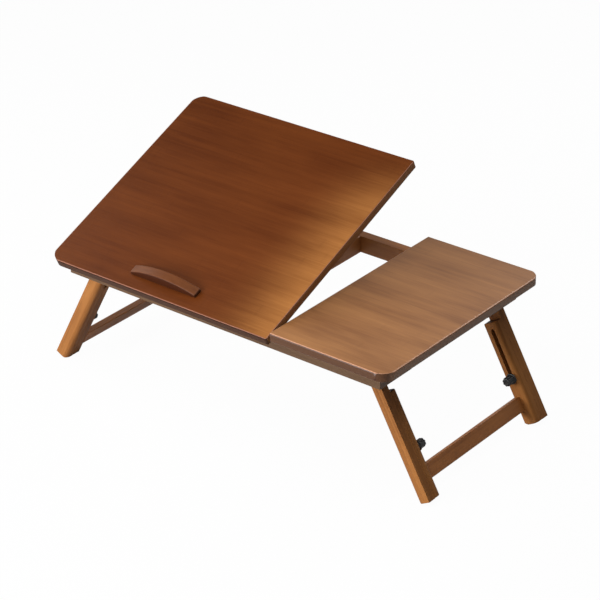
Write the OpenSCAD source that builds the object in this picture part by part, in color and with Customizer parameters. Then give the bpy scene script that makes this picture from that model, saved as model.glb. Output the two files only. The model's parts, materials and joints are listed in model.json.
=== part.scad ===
// Folding laptop stand: a tilting panel and a fixed side panel on a low frame,
// with a shallow drawer under the side panel and two pairs of splayed legs
// that slide out to set the height and fold flat under the frame.
// Origin on the floor under the middle of the stand, +X right, +Y back, +Z up.

/* [Top panels] */
// Width over both panels
top_w = 582; // [550:1:620]
// Depth of the panels, front to back
top_d = 350; // [335:1:380]
// Thickness of both panels
panel_t = 12.5; // [9:0.5:14]
// Width of the fixed side panel
side_w = 190; // [180:1:200]
// Gap between the two panels
panel_gap = 1.5; // [1:0.5:4]
// How far the tilting panel's front edge is set back when it lies flat
tilt_setback = 0; // [0:0.5:4]
// Radius of the four outer corners
corner_r = 22; // [8:1:36]
// Radius of the corners beside the gap
seam_r = 4; // [1:0.5:8]
// Rounding along the edges of the panels
edge_r = 2.5; // [1:0.5:3]
// Angle of the tilting panel
tilt_angle = 22.67; // [8:0.01:32]

/* [Frame] */
// Height of the flat top above the floor with the legs pushed in
stand_h = 196.5; // [188:0.5:207]
// Overhang of the panels past the end rails
side_overhang = 26; // [18:1:34]
// Overhang of the panels past the front and back rails
end_overhang = 22; // [19:1:29]
// How far the front and back rails run on past the left end rail
rail_run = 10; // [0:1:18]
// Thickness of the rails
rail_t = 15; // [12:0.5:17]
// Height of the rails
rail_h = 25.5; // [24:0.5:32]
// Distance from the side panel's inner edge to the far face of the cross rail
cross_rail_inset = 105; // [95:1:115]
// Diameter of the wooden dowels in the frame
dowel_d = 6; // [5:0.5:7]
// Length of the wooden dowels in the frame
dowel_len = 24; // [18:1:28]
// Depth of a frame dowel in the front or back rail
dowel_in = 8; // [6:0.5:9]
// Spacing of the two dowels in each corner of the frame
dowel_pitch = 14; // [11:0.5:15]
// Diameter of the screws that hold the side panel
panel_screw_d = 3.5; // [3:0.5:4]
// Depth of the counterbores for those screws
panel_bore = 14; // [8:1:18]

/* [Legs] */
// Splay of the legs from upright
splay = 28.5; // [26:0.5:32]
// Width of the leg bars, seen from the front
leg_w = 20; // [16:0.5:22]
// Thickness of the upper leg bars
upper_t = 12.5; // [10:0.5:15]
// Thickness of the sliding leg bars
slide_t = 14.3; // [12:0.1:16]
// Radius of the upper bars' rounded edge
upper_r = 8; // [3:0.5:9]
// Radius of the sliding bars' rounded edge
slide_r = 8; // [3:0.5:9]
// Play between an upper bar and its sliding bar
slide_play = 0.2; // [0.1:0.05:0.5]
// Distance of the leg pivots below the panels
pivot_drop = 14; // [13:0.5:15]
// Diameter of the pivot screws
pivot_d = 6; // [5:0.5:7]
// Width of the flat on which each leg stands
foot_flat = 5; // [3:0.5:8]
// Travel of the sliding bars
leg_travel = 70; // [40:1:72]
// Distance from the end of the leg to its clamp stud
stud_lift = 69; // [60:1:72]
// Diameter of the clamp studs
stud_d = 6; // [5:0.5:7]
// Wood left above the slot in a sliding bar
slot_wall = 9; // [6:0.5:12]
// Distance from the end of the leg to the crossbar
bar_lift = 21; // [16:1:24]
// Height of the crossbars
bar_h = 21; // [16:0.5:23]
// Thickness of the crossbars
bar_t = 9; // [7:0.5:11]
// Diameter of the crossbar dowels
bar_dowel_d = 5; // [4:0.5:6]
// Diameter of a clamp knob's flange
knob_flange_d = 16; // [14:0.5:20]
// Thickness of a clamp knob's flange
knob_flange_t = 2; // [1.5:0.5:4]
// Diameter of a clamp knob's grip
knob_grip_d = 13; // [12:0.5:14]
// Length of a clamp knob
knob_len = 14; // [11:0.5:15]
// Thickness of the washers at the pivots and knobs
washer_t = 1; // [0.5:0.1:1.5]

/* [Hinges] */
// Length of each hinge
hinge_len = 50; // [36:1:60]
// Distance from each end of the tilting panel to the middle of a hinge
hinge_inset = 64; // [52:1:72]
// Thickness of the hinge leaves
leaf_t = 1.2; // [1:0.1:1.6]
// Diameter of the hinge barrel
barrel_d = 5; // [4.5:0.1:6]
// Diameter of the hinge pin
hinge_pin_d = 2.4; // [2:0.1:2.8]
// Distance of the hinge line in front of the front rail
hinge_proud = 2; // [1.5:0.1:2.4]
// Diameter of the hinge screws
hinge_screw_d = 2.4; // [2:0.1:2.8]
// Length of the hinge screws
hinge_screw_len = 6.5; // [5:0.5:6.5]

/* [Prop] */
// Distance of the prop pivots below the tilting panel
prop_drop = 8; // [7.5:0.1:9]
// How much longer the prop arms are than the reach from the hinge line to their pivots
prop_extra = 2; // [0:0.5:4]
// Thickness of the prop arms
prop_t = 10; // [8:0.5:12]
// Height of the prop arms
prop_h = 12; // [9:0.5:12]
// Diameter of the prop pivot pins
prop_pin_d = 5; // [4:0.5:6]
// Diameter of the dowel at the foot of each prop arm
prop_foot_d = 8; // [7:0.5:9]
// Thickness of the toothed racks
rack_t = 12; // [9:0.5:13]
// Radius of the rack notches
notch_r = 6; // [5:0.5:7]
// Depth of the rack notches
notch_depth = 1.6; // [1:0.1:2.5]
// Length of rack past the first and last notch
rack_margin = 11; // [8:1:13]
// Thickness of the prop bracket plates
bracket_t = 1.5; // [1:0.1:1.8]

/* [Book stop] */
// Length of the stop
stop_w = 116; // [90:1:150]
// Depth of the stop
stop_d = 14; // [11:0.5:18]
// Height of the stop in the middle
stop_h = 16; // [14:0.5:20]
// Height of the stop at its ends
stop_end_h = 5; // [3:0.5:9]
// Distance of the stop from the panel's front edge
stop_setback = 21; // [16:1:30]

/* [Drawer] */
// Length of the drawer behind its front
drawer_len = 160; // [130:1:162]
// Distance from the drawer's inner end to its guides
guide_setback = 11; // [8:1:20]
// Travel of the drawer
drawer_travel = 130; // [80:1:130]
// Thickness of the drawer's sides and back
drawer_t = 8; // [6:0.5:10]
// Thickness of the drawer's bottom
drawer_bottom_t = 3; // [2:0.5:4]
// Diameter of the finger hole
finger_d = 16; // [12:0.5:18]
// Thickness of the drawer guides
guide_t = 8; // [6:0.5:9]
// Thickness of the guides' lips
lip_t = 3; // [2:0.5:4]
// Diameter of the peg that stops the drawer
peg_d = 8; // [6:0.5:10]

/* [Clearances] */
// Play of pins, screws and dowels in their holes, across the diameter
hole_play = 0.1; // [0.06:0.02:0.16]
// Gap between a leg and the rail edge that stops it
stop_gap = 0.2; // [0.1:0.05:0.4]
// Running gap round the drawer
drawer_play = 0.5; // [0.3:0.1:0.8]
// Gap above the drawer's front
drawer_head = 1; // [0.6:0.1:1.5]
// Gap between a folded knob and the drawer guide
fold_gap = 2; // [1:0.5:3]
// Gap between the knuckles of a hinge
knuckle_gap = 0.3; // [0.2:0.05:0.5]
// Gap beside the prop arms in their brackets
bracket_gap = 0.3; // [0.2:0.05:0.5]
// Gap between the prop feet and the racks
rack_gap = 0.2; // [0.15:0.05:0.4]
// Gap between the racks and the folded back legs
rack_leg_gap = 9; // [5:0.5:14]

/* [Hidden] */

$fn = 96;
WALNUT = [0.36, 0.19, 0.10];
LIGHT_WALNUT = [0.55, 0.38, 0.26];
PLY = [0.76, 0.60, 0.42];
STEEL = [0.70, 0.71, 0.72];
BLACK = [0.06, 0.06, 0.06];
PAST = 1;              // how far a cutting solid runs past the face that it cuts
tip_gap = 0.5;         // how far a blind hole runs past the tip of what it holds

// Levels and faces of the frame
deck_z = stand_h - panel_t;
rail_z = deck_z - rail_h;
frame_x = top_w / 2 - side_overhang;
frame_y = top_d / 2 - end_overhang;
inner_x = frame_x - rail_t;
inner_y = frame_y - rail_t;
seam_x = top_w / 2 - side_w;
cross_x = seam_x - cross_rail_inset;
mid_rail_z = rail_z + rail_h / 2;
panel_screw_inset = 18;
panel_screw_cover = 3; // wood left above the tip of a panel screw
panel_screw_len = rail_h - panel_bore + panel_t - panel_screw_cover;
panel_head_t = 3;
head_play = 0.5;

// Tilting panel, in its own frame: x as in the stand, y from the hinge line,
// z from the panel's underside
hinge_y = -frame_y - hinge_proud;
tilt_x0 = -top_w / 2;
tilt_x1 = seam_x - panel_gap;
tilt_mid_x = (tilt_x0 + tilt_x1) / 2;
tilt_y0 = -top_d / 2 + tilt_setback - hinge_y;
tilt_y1 = top_d / 2 - hinge_y;
stop_y0 = tilt_y0 + stop_setback;
stop_rise = stop_h - stop_end_h;
stop_arc_r = (stop_w * stop_w / 4 + stop_rise * stop_rise) / (2 * stop_rise);
stop_screw_x = stop_w / 3;
stop_screw_d = 3.5;
stop_screw_depth = 7;
stop_bore = 3;
stop_head_t = 2.5;

// Hinges
leaf_root = 0.4;       // stretch between a barrel and the flat of its leaf
leaf_inset = 1;
hinge_screw_inset = 9;
hinge_head_d = 1.8 * hinge_screw_d;
leaf_y0 = barrel_d / 2 + leaf_root;
leaf_y1 = hinge_proud + rail_t - leaf_inset;
knuckle = (hinge_len - 2 * knuckle_gap) / 3;
hinge_screw_x = hinge_len / 2 - hinge_screw_inset;
hinge_screw_y = (leaf_y0 + leaf_y1) / 2;
barrel_relief = 0.5;

// Legs, in the frame of a pivot: -z runs down the leg and +x is its outer side
pivot_z = deck_z - pivot_drop;
stop_drop = pivot_z - rail_z;
pivot_x = inner_x - stop_gap - stop_drop * tan(splay) - leg_w / 2 / cos(splay);
leg_len = (pivot_z - leg_w / 2 * sin(splay)) / cos(splay) + foot_flat * sin(splay);
upper_y1 = inner_y - washer_t;
upper_y0 = upper_y1 - upper_t;
slide_y1 = upper_y0 - slide_play;
slide_y0 = slide_y1 - slide_t;
stud_at = leg_len - stud_lift;
slot_play = 0.2;
slot_end_gap = 0.3;
slot_r = stud_d / 2 + slot_play;
slot_low = stud_at + slot_end_gap;
slot_high = stud_at - leg_travel - slot_end_gap;
slide_top = slot_high - slot_r - slot_wall;
bar_at = leg_len - bar_lift;
bar_dowel_pitch = bar_h / 2;
bar_dowel_in = 9;
bar_dowel_len = 24;
pivot_head_d = 2 * pivot_d;
pivot_head_t = 4;
pivot_thread = 8;
stud_in = 7;
stud_out = 11;
knob_y0 = slide_y0 - washer_t - knob_len;
knob_bore = stud_out + tip_gap;
washer_rim = 1.5;      // how much less or more than what it bears a washer's radius is
knob_flutes = 8;
knob_flute_r = 1.6;
knob_collar = 1;       // plain stretch of the grip between its flutes and the flange

// Prop arms and racks
rack_y1 = slide_y0 - rack_leg_gap;
prop_reach = (rack_y1 - rack_margin - hinge_y - prop_extra) / 2;
prop_len = prop_reach + prop_extra;
lane_gap = 2;
left_rack_x = -inner_x;
right_rack_x = cross_x - rack_t;
left_lane_x = left_rack_x + rack_t + lane_gap;
right_lane_x = right_rack_x - lane_gap - prop_t;
rack_top = deck_z - norm([prop_drop, prop_extra]) - prop_foot_d / 2 - rack_gap;
rack_angles = [14, tilt_angle, 29, 35];
foot_short = 2;        // how far a foot stops short of its rack's far face
foot_hold = rack_t - foot_short;
cheek_t = 2;
cheek_inset = 2;
bracket_y = 16;
bracket_x = 28;
bracket_screw_inset = 3.2;
pin_proud = 1;
bracket_head_d = 5;
bracket_head_t = 1.2;
bracket_screw_d = 2.6;
bracket_screw_len = 6;

// Drawer, under the side panel
guide_lift = 2;
side_drop = 5;         // distance of the drawer's sides below the side panel
back_drop = 1.5;
finger_margin = 3;
peg_end_gap = 0.3;
peg_hold = 3;          // how far the peg reaches below the top of the drawer's sides
guide_y1 = slide_y0 - washer_t - knob_len - fold_gap;
guide_y0 = guide_y1 - guide_t;
drawer_y = guide_y0 - drawer_play;
drawer_x0 = inner_x - drawer_len;
guide_x0 = drawer_x0 + guide_setback;
guide_z0 = rail_z + guide_lift;
lip_z = guide_z0 + lip_t;
drawer_z0 = lip_z + drawer_play;
drawer_side_z1 = deck_z - side_drop;
drawer_back_z1 = deck_z - back_drop;
drawer_front_z0 = rail_z + drawer_play;
drawer_front_z1 = deck_z - drawer_head;
finger_z = drawer_front_z1 - finger_margin - finger_d / 2;
peg_x = drawer_x0 + drawer_t + drawer_travel + peg_end_gap + peg_d / 2;
peg_z = drawer_side_z1 - peg_hold;
peg_in = 5;
drawer_dowel_d = 4;
drawer_dowel_len = 18;

// Positions along the prop: the foot's distance from the hinge line at a tilt
function foot_y(tilt) = (prop_reach + prop_len) * cos(tilt) + prop_drop * sin(tilt);

// ---- helpers ----

// Waste outside a rounded corner that sits at the origin, in the first quadrant
module corner_waste(r) {
    difference() {
        translate([-PAST, -PAST]) square(r + PAST);
        translate([r, r]) circle(r = r);
    }
}

// Rectangle whose left corners and right corners have their own radii
module rounded_outline(x0, x1, y0, y1, left_r, right_r) {
    difference() {
        translate([x0, y0]) square([x1 - x0, y1 - y0]);
        translate([x0, y0]) corner_waste(left_r);
        translate([x0, y1]) mirror([0, 1]) corner_waste(left_r);
        translate([x1, y0]) mirror([1, 0]) corner_waste(right_r);
        translate([x1, y1]) mirror([1, 0]) mirror([0, 1]) corner_waste(right_r);
    }
}

// Panel with rounded corners and softened edges, its underside at z = 0
module panel(x0, x1, y0, y1, left_r, right_r) {
    intersection() {
        linear_extrude(panel_t) rounded_outline(x0, x1, y0, y1, left_r, right_r);
        translate([x0 - PAST, 0, 0]) rotate([90, 0, 90])
            linear_extrude(x1 - x0 + 2 * PAST)
                rounded_outline(y0, y1, 0, panel_t, edge_r, edge_r);
        translate([0, y1 + PAST, 0]) rotate([90, 0, 0])
            linear_extrude(y1 - y0 + 2 * PAST)
                rounded_outline(x0, x1, 0, panel_t, edge_r, edge_r);
    }
}

// Block between two corners
module block(low, high) {
    translate(low) cube(high - low);
}

// Round bar along +Y or +X from the origin
module bar_y(d, len) {
    rotate([-90, 0, 0]) cylinder(d = d, h = len);
}

module bar_x(d, len) {
    rotate([0, 90, 0]) cylinder(d = d, h = len);
}

// Screw that points up, with the underside of its head at z = 0
module screw_up(d, head_d, head_t, len) {
    cylinder(d = d, h = len);
    translate([0, 0, -head_t]) cylinder(d = head_d, h = head_t);
}

// The back right corner of the stand, mirrored to the left and to the front
module at_corner(side_x, side_y) {
    mirror([side_x < 0 ? 1 : 0, 0, 0])
        mirror([0, side_y < 0 ? 1 : 0, 0])
            children();
}

module on_leg() {
    translate([pivot_x, 0, pivot_z]) rotate([0, -splay, 0]) children();
}

module on_stud() {
    on_leg() translate([0, 0, -stud_at]) children();
}

module on_tilt() {
    translate([0, hinge_y, deck_z]) rotate([tilt_angle, 0, 0]) children();
}

module on_prop(lane_x) {
    on_tilt() translate([lane_x, prop_reach, -prop_drop])
        rotate([-2 * tilt_angle, 0, 0]) children();
}

module at_hinges() {
    for (x = [tilt_x0 + hinge_inset, tilt_x1 - hinge_inset])
        translate([x, 0, 0]) children();
}

// ---- panels and book stop ----

module tilt_panel() {
    color(WALNUT) on_tilt() difference() {
        panel(tilt_x0, tilt_x1, tilt_y0, tilt_y1, corner_r, seam_r);
        at_hinges() hinge_waste(1);
        at_hinges() hinge_screw_holes(1);
        stop_screw_places() stop_screw_waste();
        bracket_places() bracket_screw_places()
            translate([0, 0, -PAST])
                cylinder(d = bracket_screw_d + hole_play, h = bracket_screw_len + PAST);
    }
}

module side_panel() {
    color(LIGHT_WALNUT) difference() {
        translate([0, 0, deck_z])
            panel(seam_x, top_w / 2, -top_d / 2, top_d / 2, seam_r, corner_r);
        panel_screw_places() panel_screw_waste();
        translate([peg_x, 0, deck_z - PAST])
            cylinder(d = peg_d + hole_play, h = peg_in + PAST);
    }
}

module book_stop() {
    color(WALNUT) on_tilt() difference() {
        translate([tilt_mid_x, stop_y0 + stop_d, panel_t]) rotate([90, 0, 0])
            linear_extrude(stop_d) intersection() {
                translate([-stop_w / 2, 0]) square([stop_w, stop_h]);
                translate([0, stop_h - stop_arc_r]) circle(r = stop_arc_r, $fn = 360);
            }
        stop_screw_places() stop_screw_waste();
    }
}

module stop_screw_places() {
    for (side = [-1, 1])
        translate([tilt_mid_x + side * stop_screw_x, stop_y0 + stop_d / 2, 0])
            children();
}

module stop_screw_waste() {
    translate([0, 0, -PAST])
        cylinder(d = stop_screw_d + hole_play, h = panel_t + stop_screw_depth + PAST);
    translate([0, 0, -PAST]) cylinder(d = 2 * stop_screw_d + hole_play, h = stop_bore + PAST);
}

module book_stop_screws() {
    len = panel_t - stop_bore + stop_screw_depth - tip_gap;
    color(STEEL) on_tilt() stop_screw_places() translate([0, 0, stop_bore])
        screw_up(stop_screw_d, 2 * stop_screw_d, stop_head_t, len);
}

// ---- frame ----

module long_rail(side_y) {
    at_corner(1, side_y) difference() {
        block([-frame_x - rail_run, inner_y, rail_z], [frame_x, frame_y, deck_z]);
        frame_dowel_places() frame_dowel_waste();
        for (side_x = [-1, 1])
            translate([side_x * pivot_x, inner_y - PAST, pivot_z])
                bar_y(pivot_d + hole_play, pivot_thread + PAST);
        panel_screw_places() panel_screw_waste();
    }
}

module front_rail() {
    color(WALNUT) difference() {
        long_rail(-1);
        translate([0, hinge_y, deck_z]) at_hinges() hinge_waste(-1);
        translate([0, hinge_y, deck_z]) at_hinges() hinge_screw_holes(-1);
    }
}

module back_rail() {
    color(WALNUT) long_rail(1);
}

module left_end_rail() {
    color(WALNUT) difference() {
        block([-frame_x, -inner_y, rail_z], [-inner_x, inner_y, deck_z]);
        both_dowel_rows() frame_dowel_waste();
    }
}

module cross_rail() {
    color(WALNUT) difference() {
        block([cross_x, -inner_y, rail_z], [cross_x + rail_t, inner_y, deck_z]);
        both_dowel_rows() frame_dowel_waste();
    }
}

module right_apron(side_y) {
    color(WALNUT) at_corner(1, side_y) difference() {
        block([inner_x, guide_y0, rail_z], [frame_x, inner_y, deck_z]);
        frame_dowel_places() frame_dowel_waste();
    }
}

module right_front_apron() {
    right_apron(-1);
}

module right_back_apron() {
    right_apron(1);
}

// Two dowels at each end of the left rail, the cross rail and the aprons
module frame_dowel_places() {
    for (x = [-frame_x + rail_t / 2, cross_x + rail_t / 2, frame_x - rail_t / 2])
        for (side = [-1, 1])
            translate([x, inner_y + dowel_in, mid_rail_z + side * dowel_pitch / 2])
                children();
}

module both_dowel_rows() {
    for (side_y = [-1, 1])
        at_corner(1, side_y) frame_dowel_places() children();
}

module frame_dowel_waste() {
    translate([0, -dowel_len - tip_gap, 0])
        bar_y(dowel_d + hole_play, dowel_len + 2 * tip_gap);
}

module frame_dowels() {
    color(PLY) both_dowel_rows() translate([0, -dowel_len, 0]) bar_y(dowel_d, dowel_len);
}

module panel_screw_places() {
    for (x = [seam_x + panel_screw_inset, pivot_x - panel_screw_inset])
        for (side_y = [-1, 1])
            translate([x, side_y * (frame_y - rail_t / 2), rail_z + panel_bore])
                children();
}

module panel_screw_waste() {
    translate([0, 0, -panel_bore - PAST])
        cylinder(d = 2 * panel_screw_d + head_play, h = panel_bore + PAST);
    cylinder(d = panel_screw_d + hole_play, h = panel_screw_len + tip_gap);
}

module panel_screws() {
    color(STEEL) panel_screw_places()
        screw_up(panel_screw_d, 2 * panel_screw_d, panel_head_t, panel_screw_len);
}

// ---- hinges: level +1 is the panel's side of the hinge line, -1 the rail's ----

module hinge_waste(level) {
    leaf_z = level > 0 ? -PAST : -leaf_t;
    translate([-hinge_len / 2, leaf_y0 - PAST, leaf_z])
        cube([hinge_len, leaf_y1 - leaf_y0 + PAST, leaf_t + PAST]);
    translate([-hinge_len / 2, 0, 0])
        bar_x(barrel_d + 2 * barrel_relief, hinge_len);
}

module hinge_screw_places() {
    for (side = [-1, 1])
        translate([side * hinge_screw_x, hinge_screw_y, 0]) children();
}

module hinge_screw_holes(level) {
    hinge_screw_places() mirror([0, 0, level > 0 ? 0 : 1])
        cylinder(d = hinge_screw_d + hole_play, h = hinge_screw_len + tip_gap);
}

module knuckle_tube(x, level) {
    translate([x, 0, 0]) bar_x(barrel_d, knuckle);
    translate([x, 0, level > 0 ? 0 : -leaf_t])
        cube([knuckle, leaf_y0 + PAST, leaf_t]);
}

// A leaf with its own knuckles, bored for the pin and for its screws
module leaf(level) {
    outer = hinge_len / 2;
    places = level > 0 ? [-outer, outer - knuckle] : [-knuckle / 2];
    difference() {
        union() {
            translate([-outer, leaf_y0, level > 0 ? 0 : -leaf_t])
                cube([hinge_len, leaf_y1 - leaf_y0, leaf_t]);
            for (x = places)
                knuckle_tube(x, level);
        }
        translate([-outer - PAST, 0, 0])
            bar_x(hinge_pin_d + hole_play, hinge_len + 2 * PAST);
        hinge_screw_places() mirror([0, 0, level > 0 ? 0 : 1]) {
            translate([0, 0, -PAST])
                cylinder(d = hinge_screw_d + hole_play, h = leaf_t + 2 * PAST);
            translate([0, 0, -PAST])
                cylinder(d = hinge_head_d + hole_play, h = leaf_t / 2 + PAST);
        }
    }
}

module leaf_screw(level) {
    mirror([0, 0, level > 0 ? 0 : 1]) translate([0, 0, leaf_t / 2])
        screw_up(hinge_screw_d, hinge_head_d, leaf_t / 2, hinge_screw_len - leaf_t / 2);
}

module hinge_rail_leaves() {
    color(STEEL) translate([0, hinge_y, deck_z]) at_hinges() leaf(-1);
}

module hinge_panel_leaves() {
    color(STEEL) on_tilt() at_hinges() leaf(1);
}

module hinge_pins() {
    color(STEEL) translate([-hinge_len / 2, hinge_y, deck_z]) at_hinges()
        bar_x(hinge_pin_d, hinge_len);
}

module hinge_rail_screws() {
    color(STEEL) translate([0, hinge_y, deck_z]) at_hinges()
        hinge_screw_places() leaf_screw(-1);
}

module hinge_panel_screws() {
    color(STEEL) on_tilt() at_hinges() hinge_screw_places() leaf_screw(1);
}

// ---- prop arms and racks ----

module prop_rack(x) {
    y0 = hinge_y + foot_y(max(rack_angles)) - rack_margin;
    color(WALNUT) difference() {
        block([x, y0, rail_z], [x + rack_t, rack_y1, rack_top]);
        for (angle = rack_angles)
            translate([x - PAST, hinge_y + foot_y(angle), rack_top + notch_r - notch_depth])
                bar_x(2 * notch_r, rack_t + 2 * PAST);
    }
}

module left_prop_rack() {
    prop_rack(left_rack_x);
}

module right_prop_rack() {
    prop_rack(right_rack_x);
}

module bracket_places() {
    for (lane_x = [left_lane_x, right_lane_x])
        translate([lane_x + prop_t / 2, prop_reach, 0]) children();
}

module bracket_screw_places() {
    for (side = [-1, 1])
        translate([side * (bracket_x / 2 - bracket_screw_inset), 0, 0]) children();
}

module prop_brackets() {
    cheek_in = prop_t / 2 + bracket_gap;
    cheek_y = bracket_y - 2 * cheek_inset;
    color(STEEL) on_tilt() bracket_places() difference() {
        union() {
            translate([-bracket_x / 2, -bracket_y / 2, -bracket_t])
                cube([bracket_x, bracket_y, bracket_t]);
            for (x = [-cheek_in - cheek_t, cheek_in]) {
                translate([x, -cheek_y / 2, -prop_drop]) cube([cheek_t, cheek_y, prop_drop]);
                translate([x, 0, -prop_drop]) bar_x(cheek_y, cheek_t);
            }
        }
        translate([-bracket_x, 0, -prop_drop])
            bar_x(prop_pin_d + hole_play, 2 * bracket_x);
        bracket_screw_places() translate([0, 0, -bracket_t - PAST])
            cylinder(d = bracket_screw_d + hole_play, h = bracket_t + 2 * PAST);
    }
}

module prop_bracket_screws() {
    color(STEEL) on_tilt() bracket_places() bracket_screw_places()
        translate([0, 0, -bracket_t])
            screw_up(bracket_screw_d, bracket_head_d, bracket_head_t,
                     bracket_t + bracket_screw_len - tip_gap);
}

module prop_pins() {
    reach = prop_t / 2 + bracket_gap + cheek_t + pin_proud;
    color(STEEL) on_tilt() bracket_places() translate([-reach, 0, -prop_drop])
        bar_x(prop_pin_d, 2 * reach);
}

module prop_arm(lane_x) {
    color(WALNUT) on_prop(lane_x) difference() {
        union() {
            translate([0, 0, -prop_h / 2]) cube([prop_t, prop_len, prop_h]);
            bar_x(prop_h, prop_t);
            translate([0, prop_len, 0]) bar_x(prop_h, prop_t);
        }
        translate([-PAST, 0, 0]) bar_x(prop_pin_d + hole_play, prop_t + 2 * PAST);
        translate([-PAST, prop_len, 0]) bar_x(prop_foot_d + hole_play, prop_t + 2 * PAST);
    }
}

module left_prop_arm() {
    prop_arm(left_lane_x);
}

module right_prop_arm() {
    prop_arm(right_lane_x);
}

// Foot dowel through the end of an arm and out over its rack
module left_prop_foot() {
    color(PLY) on_prop(left_lane_x)
        translate([-lane_gap - foot_hold, prop_len, 0])
            bar_x(prop_foot_d, foot_hold + lane_gap + prop_t);
}

module right_prop_foot() {
    color(PLY) on_prop(right_lane_x)
        translate([0, prop_len, 0])
            bar_x(prop_foot_d, foot_hold + lane_gap + prop_t);
}

// ---- legs ----

// Everything below the floor, to cut the feet level
module floor_waste() {
    translate([-top_w, -top_d, -top_d]) cube([2 * top_w, 2 * top_d, top_d]);
}

// Waste along the rounded edge of an upper bar
module upper_edge_waste() {
    translate([0, 0, -leg_len - PAST]) linear_extrude(leg_len + PAST - leg_w / 2)
        translate([-leg_w / 2, upper_y1]) mirror([0, 1]) corner_waste(upper_r);
}

module upper_leg(side_x, side_y) {
    color(WALNUT) at_corner(side_x, side_y) difference() {
        on_leg() {
            translate([-leg_w / 2, upper_y0, -leg_len]) cube([leg_w, upper_t, leg_len]);
            translate([0, upper_y0, 0]) bar_y(leg_w, upper_t);
        }
        on_leg() upper_edge_waste();
        on_leg() translate([0, upper_y0 - PAST, 0])
            bar_y(pivot_d + hole_play, upper_t + 2 * PAST);
        on_stud() translate([0, upper_y0 - PAST, 0])
            bar_y(stud_d + hole_play, stud_in + PAST);
        floor_waste();
    }
}

module sliding_leg(side_x, side_y) {
    color(WALNUT) at_corner(side_x, side_y) difference() {
        on_leg() translate([0, 0, -leg_len]) linear_extrude(leg_len - slide_top)
            difference() {
                translate([-leg_w / 2, slide_y0]) square([leg_w, slide_t]);
                translate([leg_w / 2, slide_y0]) mirror([1, 0]) corner_waste(slide_r);
            }
        on_leg() {
            for (at = [slot_high, slot_low])
                translate([0, slide_y0 - PAST, -at]) bar_y(2 * slot_r, slide_t + 2 * PAST);
            translate([-slot_r, slide_y0 - PAST, -slot_low])
                cube([2 * slot_r, slide_t + 2 * PAST, slot_low - slot_high]);
            bar_dowel_places() bar_dowel_waste();
        }
        floor_waste();
    }
}

// A crossbar lies between the sliding legs, flush with their inner edges
module crossbar(side_x) {
    color(WALNUT) at_corner(side_x, 1) difference() {
        on_leg() translate([-leg_w / 2, -slide_y0, -bar_at])
            cube([bar_t, 2 * slide_y0, bar_h]);
        for (side_y = [-1, 1])
            at_corner(1, side_y) on_leg() bar_dowel_places() bar_dowel_waste();
    }
}

module bar_dowel_places() {
    for (side = [-1, 1])
        translate([
            -leg_w / 2 + bar_t / 2,
            slide_y0 + bar_dowel_in,
            -bar_at + bar_h / 2 + side * bar_dowel_pitch / 2
        ]) children();
}

module bar_dowel_waste() {
    translate([0, -bar_dowel_len - tip_gap, 0])
        bar_y(bar_dowel_d + hole_play, bar_dowel_len + 2 * tip_gap);
}

module crossbar_dowels(side_x) {
    color(PLY) for (side_y = [-1, 1])
        at_corner(side_x, side_y) on_leg() bar_dowel_places()
            translate([0, -bar_dowel_len, 0]) bar_y(bar_dowel_d, bar_dowel_len);
}

module clamp_studs(side_x) {
    color(STEEL) for (side_y = [-1, 1])
        at_corner(side_x, side_y) on_stud()
            translate([0, slide_y0 - washer_t - stud_out, 0])
                bar_y(stud_d, stud_out + washer_t + slide_t + slide_play + stud_in - tip_gap);
}

module knob_washers(side_x) {
    color(STEEL) for (side_y = [-1, 1])
        at_corner(side_x, side_y) on_stud() translate([0, slide_y0 - washer_t, 0])
            difference() {
                bar_y(knob_flange_d - 2 * washer_rim, washer_t);
                translate([0, -PAST, 0]) bar_y(stud_d + hole_play, washer_t + 2 * PAST);
            }
}

module knob(side_x, side_y) {
    color(BLACK) at_corner(side_x, side_y) on_stud() translate([0, knob_y0, 0])
        difference() {
            union() {
                bar_y(knob_grip_d, knob_len);
                translate([0, knob_len - knob_flange_t, 0])
                    bar_y(knob_flange_d, knob_flange_t);
            }
            translate([0, knob_len - knob_bore, 0])
                bar_y(stud_d + hole_play, knob_bore + PAST);
            for (i = [0 : knob_flutes - 1])
                rotate([0, i * 360 / knob_flutes, 0])
                    translate([knob_grip_d / 2 + knob_flute_r / 2, -PAST, 0])
                        bar_y(2 * knob_flute_r, knob_len - knob_flange_t - knob_collar + PAST);
        }
}

module leg_pivot_screws() {
    color(STEEL) for (side_x = [-1, 1], side_y = [-1, 1])
        at_corner(side_x, side_y) translate([pivot_x, upper_y0, pivot_z]) {
            bar_y(pivot_d, upper_t + washer_t + pivot_thread - tip_gap);
            translate([0, -pivot_head_t, 0]) bar_y(pivot_head_d, pivot_head_t);
        }
}

module leg_pivot_washers() {
    color(STEEL) for (side_x = [-1, 1], side_y = [-1, 1])
        at_corner(side_x, side_y) translate([pivot_x, upper_y1, pivot_z])
            difference() {
                bar_y(pivot_head_d + 2 * washer_rim, washer_t);
                translate([0, -PAST, 0]) bar_y(pivot_d + hole_play, washer_t + 2 * PAST);
            }
}

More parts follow.
